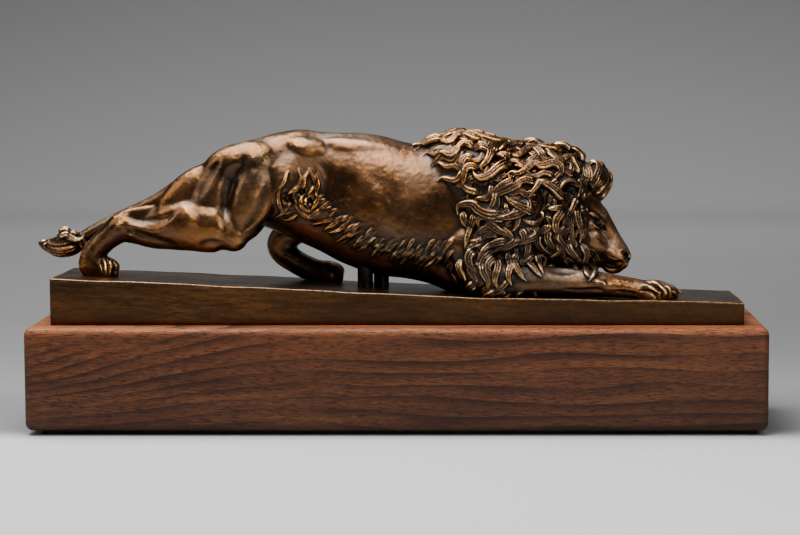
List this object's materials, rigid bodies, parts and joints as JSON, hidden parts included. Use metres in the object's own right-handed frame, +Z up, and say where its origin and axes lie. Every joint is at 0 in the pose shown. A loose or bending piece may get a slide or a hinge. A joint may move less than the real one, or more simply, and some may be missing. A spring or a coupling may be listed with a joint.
{
  "type": "lion sculpture",
  "caption": "Bronze lion stretching low over its forepaws, long wavy mane, on a sloping bronze slab fixed to a rounded walnut block with a felt underside",
  "frame": {"origin": "middle of the felt pad's underside, on the surface that the sculpture stands on", "axes": "+X the way the lion faces, along the block; +Y to the lion's left; +Z up"},
  "size_m": [0.5053, 0.126, 0.2069],
  "materials": {
    "lion_bronze": "brown patina, hair and edges rubbed golden",
    "slab_bronze": "dark brown patina, satin",
    "walnut": "oiled walnut, satin",
    "felt": "dark felt"
  },
  "bodies": {
    "root": {"lion": "lion_bronze", "bronze_slab": "slab_bronze", "walnut_plinth": "walnut", "felt_pad": "felt"}
  },
  "joints": []
}
